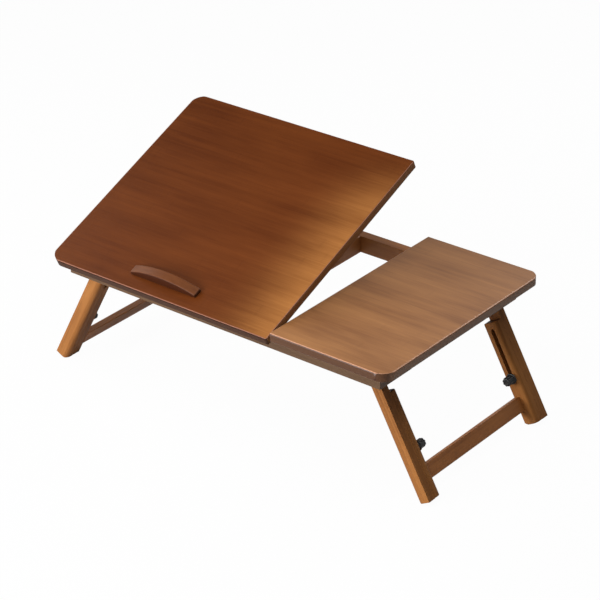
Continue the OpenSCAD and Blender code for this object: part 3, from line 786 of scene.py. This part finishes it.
@dataclass(frozen=True)
class Profile:
    """A turned shape: rings of radius and height, with an optional lobed outline.

    Attributes:
        rings: Radius and height of each ring, in metres, from one end to the other.
        lobes: Number of lobes round the outline, or 0.
        lobe_depth: Depth of the hollows between the lobes, in metres.
        lobed: Which rings are lobed, as first and last number.
        sides: Number of points on a ring.
    """

    rings: tuple[tuple[float, float], ...]
    lobes: int = 0
    lobe_depth: float = 0.0
    lobed: tuple[int, int] = (0, -1)
    sides: int = 96

    def radius(self, number: int, angle: float) -> float:
        """Radius of a ring at an angle.

        Args:
            number: The ring.
            angle: The angle, in radians.

        Returns:
            The radius.
        """
        radius = self.rings[number][0]
        if self.lobes and self.lobed[0] <= number <= self.lobed[1]:
            wave = 0.5 - 0.5 * math.cos(self.lobes * angle)
            radius -= self.lobe_depth * wave ** 3
        return radius

    def add(self, form: bmesh.types.BMesh, place: Matrix) -> None:
        """Add the closed turned shape to a form.

        Args:
            form: The form.
            place: Where the shape goes; it is turned about its own Z.
        """
        rings = []
        for number, (_, height) in enumerate(self.rings):
            ring = []
            for step in range(self.sides):
                angle = 2 * math.pi * step / self.sides
                radius = self.radius(number, angle)
                spot = Vector((radius * math.cos(angle), radius * math.sin(angle), height))
                ring.append(form.verts.new(place @ spot))
            rings.append(ring)
        for low, high in zip(rings, rings[1:]):
            for step in range(self.sides):
                after = (step + 1) % self.sides
                form.faces.new((low[step], low[after], high[after], high[step]))
        form.faces.new(list(reversed(rings[0])))
        form.faces.new(rings[-1])


def rounded_end(radius: float, height: float, round_by: float, steps: int,
                outward: int) -> list[tuple[float, float]]:
    """Rings of a rounded rim.

    Args:
        radius: Radius of the shape below the rim.
        height: Height of the end face.
        round_by: Radius of the rounding.
        steps: Number of rings in the rounding.
        outward: 1 where the end is the upper one, -1 where it is the lower one.

    Returns:
        Rings in order of rising height.
    """
    rings = []
    for step in range(steps + 1):
        angle = math.pi / 2 * step / steps
        rings.append((radius - round_by + round_by * math.cos(angle),
                      height - outward * round_by * (1 - math.sin(angle))))
    return rings if outward > 0 else rings[::-1]


# ---------------------------------------------------------------- sub-assemblies


@dataclass
class Boards:
    """The tilting panel, the side panel and the book stop.

    Attributes:
        stop_arris: Rounding of the book stop.
        panel_arris: Rounding of the panels' remaining edges.
    """

    stop_arris: Arris = Arris(0.0016, 4)
    panel_arris: Arris = Arris(0.0008, 3)

    def build(self) -> None:
        """Make and dress the three boards."""
        top = SHELF.take(TOP_STAIN, Grain.TILTED)
        finish_piece(eased("tilt_panel", self.panel_arris), "tilt_panel", top)
        stop = SHELF.take(STOP_STAIN, Grain.TILTED)
        finish_piece(eased("book_stop", self.stop_arris), "book_stop", stop)
        side = SHELF.take(SIDE_STAIN, Grain.FLAT)
        finish_piece(eased("side_panel", self.panel_arris), "side_panel", side)


@dataclass
class FrameWork:
    """The rails, aprons, racks and drawer guides of the fixed frame.

    Attributes:
        arris: Rounding of the rails.
        pieces: Stain, grain and names of the pieces.
        bare: Unstained turned pieces.
    """

    arris: Arris = Arris(0.0010, 3)
    pieces: tuple[tuple[BambooFinish, Grain, tuple[str, ...]], ...] = (
        (RAIL_STAIN, Grain.RAIL_X, ("front_rail",)),
        (BAR_STAIN, Grain.RAIL_X, ("back_rail",)),
        (BAR_STAIN, Grain.RAIL_Y, ("cross_rail",)),
        (RAIL_STAIN, Grain.RAIL_Y, ("right_front_apron", "right_back_apron")),
        (FRAME_STAIN, Grain.RAIL_X, ("front_drawer_guide", "back_drawer_guide")),
        (FRAME_STAIN, Grain.RAIL_Y, ("left_end_rail", "left_prop_rack", "right_prop_rack")),
    )
    bare: tuple[str, ...] = ("drawer_stop_peg", "frame_dowels")

    def build(self) -> None:
        """Make and dress the frame."""
        for stain, grain, names in self.pieces:
            for node in names:
                finish_piece(eased(node, self.arris), node, SHELF.take(stain, grain))
        for node in self.bare:
            dress_node(node, SHELF.take(BARE_BEECH, Grain.RAIL_Y))


@dataclass
class Knob:
    """A clamp knob: a slim flange against the leg and a fluted grip with a rounded end.

    Attributes:
        node: The CAD node that it replaces.
        lobes: Number of lobes on the grip.
        lobe_depth: Depth of the hollows between the lobes, in metres.
        flange_share: Share of the length that the flange takes.
        grip_share: Radius of the grip as a share of the flange's.
        rim: Rounding of the flange's rims, in metres.
        foot: Rounding where the grip meets the flange, in metres.
        collar: Plain stretch of the grip above the flange, in metres.
        dome: Rounding of the grip's end, in metres.
        dimple: Radius of the hollow in the end, as a share of the grip's.
        dimple_depth: Depth of that hollow, in metres.
    """

    node: str
    lobes: int = 8
    lobe_depth: float = 0.0010
    flange_share: float = 0.143
    grip_share: float = 0.8125
    rim: float = 0.0006
    foot: float = 0.0005
    collar: float = 0.0010
    dome: float = 0.0024
    dimple: float = 0.42
    dimple_depth: float = 0.0005

    def rings(self, flange_r: float, length: float) -> tuple[list, tuple[int, int]]:
        """Rings of the knob from the leg outwards.

        Args:
            flange_r: Radius of the flange, in metres.
            length: Length of the knob, in metres.

        Returns:
            The rings, and the first and last number of the lobed ones.
        """
        grip_r = flange_r * self.grip_share
        flange_t = length * self.flange_share
        rings = rounded_end(flange_r, 0.0, self.rim, 4, -1)
        rings += rounded_end(flange_r, flange_t, self.rim, 4, 1)
        for step in range(5):
            angle = math.pi / 2 * step / 4
            rings.append((grip_r + self.foot * (1 - math.sin(angle)),
                          flange_t + self.foot * (1 - math.cos(angle))))
        first = len(rings)
        rings.append((grip_r, flange_t + self.foot + self.collar))
        rings += rounded_end(grip_r, length, self.dome, 8, 1)
        last = len(rings) - 2
        hollow = grip_r * self.dimple
        for step in range(5):
            angle = math.pi / 2 * step / 4
            rings.append((hollow * (1 - 0.2 * math.sin(angle)),
                          length - self.dimple_depth * (1 - math.cos(angle))))
        return rings, (first, last)

    def build(self) -> None:
        """Make the knob in the node's place and dress it."""
        low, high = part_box(self.node)
        centre = (low + high) / 2
        rings, lobed = self.rings((high.x - low.x) / 2, high.y - low.y)
        profile = Profile(tuple(rings), self.lobes, self.lobe_depth, lobed)
        inward = 1.0 if centre.y < 0 else -1.0
        leg_side = low.y if inward > 0 else high.y
        place = (Matrix.Translation((centre.x, leg_side, centre.z))
                 @ Matrix.Rotation(-inward * math.pi / 2, 4, "X"))
        form = bmesh.new()
        profile.add(form, place)
        bmesh.ops.recalc_face_normals(form, faces=form.faces)
        shade(form, 50.0)
        piece = object_from(form, f"{self.node}_body")
        finish_piece(piece, self.node, SHELF.take(BLACK))


@dataclass
class LegPair:
    """Two upper legs, two sliding legs, their crossbar and their clamps.

    Attributes:
        side: "left" or "right".
        grain: The grain of the legs.
        bar_arris: Rounding of the leg bars.
        ends: The pair's two ends.
    """

    side: str
    grain: Grain
    bar_arris: Arris = Arris(0.0011, 4)
    ends: tuple[str, ...] = ("front", "back")

    def build(self) -> None:
        """Make and dress the pair."""
        wood = SHELF.take(LEG_STAIN, self.grain)
        for end in self.ends:
            for kind in ("upper_leg", "sliding_leg"):
                node = f"{end}_{self.side}_{kind}"
                finish_piece(eased(node, self.bar_arris), node, wood)
            Knob(f"{end}_{self.side}_knob").build()
        crossbar = f"{self.side}_crossbar"
        finish_piece(eased(crossbar, self.bar_arris), crossbar,
                     SHELF.take(BAR_STAIN, Grain.RAIL_Y))
        dress_node(f"{self.side}_crossbar_dowels", SHELF.take(BARE_BEECH, Grain.RAIL_Y))
        for fitting in ("clamp_studs", "knob_washers"):
            dress_node(f"{self.side}_{fitting}", SHELF.take(ZINC))


@dataclass
class Drawer:
    """The shallow drawer under the side panel.

    Attributes:
        arris: Rounding of the drawer's pieces.
    """

    arris: Arris = Arris(0.0008, 3)

    def build(self) -> None:
        """Make and dress the drawer."""
        finish_piece(eased("drawer_front", self.arris), "drawer_front",
                     SHELF.take(RAIL_STAIN, Grain.RAIL_Y))
        for node in ("drawer_front_side", "drawer_back_side"):
            finish_piece(eased(node, self.arris), node, SHELF.take(DRAWER_STAIN, Grain.RAIL_X))
        finish_piece(eased("drawer_back", self.arris), "drawer_back",
                     SHELF.take(DRAWER_STAIN, Grain.RAIL_Y))
        dress_node("drawer_bottom", SHELF.take(BARE_BEECH, Grain.FLAT))
        dress_node("drawer_dowels", SHELF.take(BARE_BEECH, Grain.RAIL_X))


@dataclass
class Props:
    """The two prop arms that hold up the tilting panel.

    Attributes:
        arris: Rounding of the arms.
        sides: The two sides.
    """

    arris: Arris = Arris(0.0008, 3)
    sides: tuple[str, ...] = ("left", "right")

    def build(self) -> None:
        """Make and dress the arms and their fittings."""
        for side in self.sides:
            arm = f"{side}_prop_arm"
            finish_piece(eased(arm, self.arris), arm, SHELF.take(FRAME_STAIN, Grain.ARM))
            dress_node(f"{side}_prop_foot", SHELF.take(BARE_BEECH, Grain.FLAT))
        for node in ("prop_brackets", "prop_bracket_screws", "prop_pins"):
            dress_node(node, SHELF.take(ZINC))


@dataclass
class Fittings:
    """Hinges, screws and washers of the frame and the panels.

    Attributes:
        nodes: The CAD nodes that keep their shape.
    """

    nodes: tuple[str, ...] = (
        "hinge_rail_leaves", "hinge_panel_leaves", "hinge_pins", "hinge_rail_screws",
        "hinge_panel_screws", "book_stop_screws", "panel_screws", "leg_pivot_washers",
        "leg_pivot_screws")

    def build(self) -> None:
        """Dress the fittings."""
        for node in self.nodes:
            dress_node(node, SHELF.take(ZINC))


# ---------------------------------------------------------------- studio


@dataclass
class Lamp:
    """A soft rectangular lamp that faces the stand.

    Attributes:
        name: Name of the lamp.
        place: Where it stands, in metres.
        aim: The point that it faces.
        size: Its width and height, in metres.
        power: Its power, in watts.
        colour: Its colour.
    """

    name: str
    place: Vector3
    aim: Vector3
    size: tuple[float, float]
    power: float
    colour: Colour = (1.0, 1.0, 1.0)

    def build(self) -> None:
        """Hang the lamp."""
        data = bpy.data.lights.new(self.name, "AREA")
        data.shape = "RECTANGLE"
        data.size, data.size_y = self.size
        data.energy = self.power
        data.color = self.colour
        lamp = bpy.data.objects.new(self.name, data)
        lamp.location = self.place
        look = Vector(self.aim) - Vector(self.place)
        lamp.rotation_euler = look.to_track_quat("-Z", "Y").to_euler()
        bpy.context.scene.collection.objects.link(lamp)


@dataclass
class Studio:
    """A pale floor, soft lamps, the room's light and the camera.

    Attributes:
        camera_at: The camera's place, in metres.
        right: The direction of the picture's right.
        up: The direction of the picture's top.
        lens: Focal length, in millimetres.
        sensor: Width of the picture on the sensor, in millimetres.
        floor_half: Half the floor's width, in metres.
        room: Strength of the room's light on the object.
    """

    camera_at: Vector3 = (1.8118, -2.1974, 1.656)
    right: Vector3 = (0.7793, 0.6264, -0.0175)
    up: Vector3 = (-0.2828, 0.3764, 0.8822)
    lens: float = 140.649
    sensor: float = 36.0
    floor_half: float = 6.0
    room: float = 0.13
    lamps: list[Lamp] = field(default_factory=lambda: [
        Lamp("key_lamp", (0.05, -0.75, 1.15), (0.12, -0.05, 0.19), (0.7, 0.5), 6.6),
        Lamp("front_lamp", (-0.9, -2.3, 0.7), (0.0, 0.0, 0.12), (1.6, 1.0), 76.0),
        Lamp("near_lamp", (0.30, -0.25, 0.80), (0.12, 0.0, 0.19), (0.35, 0.35), 2.1),
        Lamp("back_lamp", (0.1, 1.3, 1.2), (0.1, 0.0, 0.19), (0.8, 0.5), 11.0),
        Lamp("left_lamp", (-1.4, -0.2, 0.9), (0.0, 0.0, 0.15), (0.8, 0.8), 10.0),
    ])

    def build(self) -> None:
        """Set up the studio."""
        scene = bpy.context.scene
        scene.view_settings.view_transform = "Standard"
        self.build_floor()
        self.build_room()
        for lamp in self.lamps:
            lamp.build()
        self.build_camera()

    def build_floor(self) -> None:
        """Lay the floor, which shows white and keeps a soft shadow."""
        form = bmesh.new()
        half = self.floor_half
        corners = [(-half, -half), (half, -half), (half, half), (-half, half)]
        form.faces.new([form.verts.new((x, y, 0.0)) for x, y in corners])
        floor = object_from(form, "studio_floor")
        material = bpy.data.materials.new("studio_floor")
        material.use_nodes = True
        tree = material.node_tree
        maker = NodeMaker(tree)
        paint = tree.nodes["Principled BSDF"]
        paint.inputs["Base Color"].default_value = (0.6, 0.6, 0.6, 1.0)
        paint.inputs["Roughness"].default_value = 0.9
        paint.inputs["Specular IOR Level"].default_value = 0.0
        glow = maker.make("ShaderNodeEmission", None, {"Color": (1.0, 1.0, 1.0), "Strength": 1.0})
        seen = maker.make("ShaderNodeLightPath")["Is Camera Ray"]
        mixed = maker.make("ShaderNodeMixShader", None, {0: seen * 0.97})
        tree.links.new(paint.outputs["BSDF"], mixed.node.inputs[1])
        tree.links.new(glow["Emission"].out, mixed.node.inputs[2])
        tree.links.new(mixed["Shader"].out, tree.nodes["Material Output"].inputs["Surface"])
        floor.data.materials.append(material)

    def build_room(self) -> None:
        """Fill the room with even light, white where the camera sees it."""
        world = bpy.data.worlds.new("studio_room")
        bpy.context.scene.world = world
        world.use_nodes = True
        tree = world.node_tree
        tree.nodes.clear()
        maker = NodeMaker(tree)
        rays = maker.make("ShaderNodeLightPath")
        direction = maker.make("ShaderNodeTexCoord")["Generated"]
        height = maker.along(direction, (0.0, 0.0, 1.0))
        low_white = 1.0 - height.ramp(0.35, 0.75)
        glossy = rays["Is Glossy Ray"] * (0.15 + low_white * 0.30)
        plain = (1.0 - rays["Is Camera Ray"]) * (1.0 - rays["Is Glossy Ray"]) * self.room
        strength = rays["Is Camera Ray"] + glossy + plain
        sky = maker.make("ShaderNodeBackground", None, {
            "Color": (1.0, 1.0, 1.0), "Strength": strength})
        out = maker.make("ShaderNodeOutputWorld")
        tree.links.new(sky["Background"].out, out.node.inputs["Surface"])

    def build_camera(self) -> None:
        """Place the camera at the picture's viewing angle."""
        data = bpy.data.cameras.new("studio_camera")
        data.lens = self.lens
        data.sensor_fit = "HORIZONTAL"
        data.sensor_width = self.sensor
        camera = bpy.data.objects.new("studio_camera", data)
        right = Vector(self.right).normalized()
        up = Vector(self.up)
        up = (up - right * up.dot(right)).normalized()
        turn = Matrix((right, up, right.cross(up))).transposed()
        camera.matrix_world = Matrix.Translation(self.camera_at) @ turn.to_4x4()
        bpy.context.scene.collection.objects.link(camera)
        bpy.context.scene.camera = camera


def main() -> None:
    """Build the whole scene in order."""
    logging.basicConfig(level=logging.INFO, format="%(name)s: %(message)s")
    assemblies = (
        Boards(),
        FrameWork(),
        LegPair("left", Grain.LEG_LEFT),
        LegPair("right", Grain.LEG_RIGHT),
        Drawer(),
        Props(),
        Fittings(),
        Studio(),
    )
    for assembly in assemblies:
        LOG.info("building %s", type(assembly).__name__)
        assembly.build()


if __name__ == "__main__":
    main()
